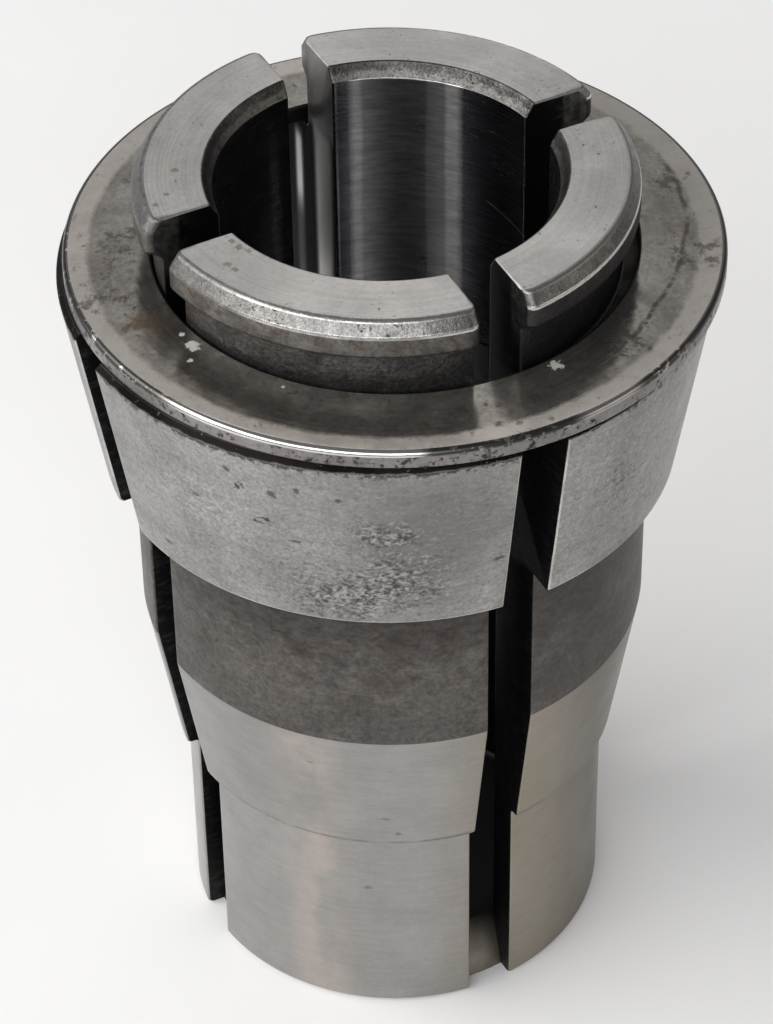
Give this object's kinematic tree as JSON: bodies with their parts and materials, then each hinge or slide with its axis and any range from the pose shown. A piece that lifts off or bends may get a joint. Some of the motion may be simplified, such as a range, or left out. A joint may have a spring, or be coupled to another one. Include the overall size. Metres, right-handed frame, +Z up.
{
  "type": "lathe collet",
  "caption": "Spring collet for a lathe: slotted jaws grip a bar in a plain bore, two ground cones close them, and a loose ring is kept behind the lip of the nose.",
  "frame": {"origin": "centre of the tail's flat end, on the bore's axis", "axes": "+Z up the bore to the nose; +X and +Y each through the middle of a jaw, with the slots between them"},
  "size_m": [0.0497, 0.0494, 0.0724],
  "materials": {
    "collet_steel": "ground on the cones and tail, dark oxide on the neck and in the bore and slots, worn and pitted",
    "ring_steel": "polished by wear, with brown stains, small pits and scratches"
  },
  "bodies": {
    "collet": {"collet_body": "collet_steel"},
    "ring": {"captive_ring": "ring_steel"}
  },
  "joints": [
    {"name": "ring_float", "type": "slide", "parent": "collet", "child": "ring", "axis": [0, 0, 1], "range_m": [0, 0.0028]}
  ]
}
